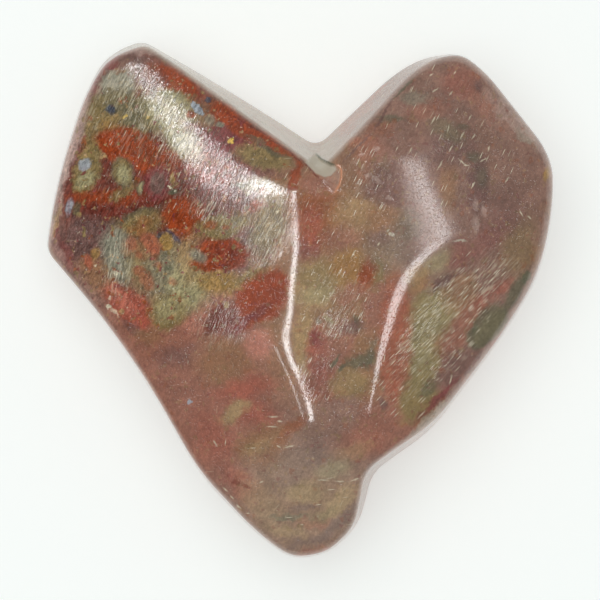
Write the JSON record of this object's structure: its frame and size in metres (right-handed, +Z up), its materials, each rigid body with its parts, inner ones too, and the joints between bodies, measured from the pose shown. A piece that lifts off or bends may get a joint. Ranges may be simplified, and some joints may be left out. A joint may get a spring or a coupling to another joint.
{
  "type": "polished jasper heart",
  "caption": "Palm-size heart of polished multicoloured jasper with broad eased faces, a straight-sided notch and a flat ground to lie on.",
  "frame": {"origin": "centre of the bounding box's bottom face, on the surface that the stone lies on", "axes": "+X across the heart to the right, +Y from the tip to the notch, +Z up out of the crown"},
  "size_m": [0.0756, 0.077, 0.0271],
  "materials": {
    "heart": "high polish with fine scratches, mottled red, maroon, olive and grey"
  },
  "bodies": {
    "root": {"heart": "heart"}
  },
  "joints": []
}
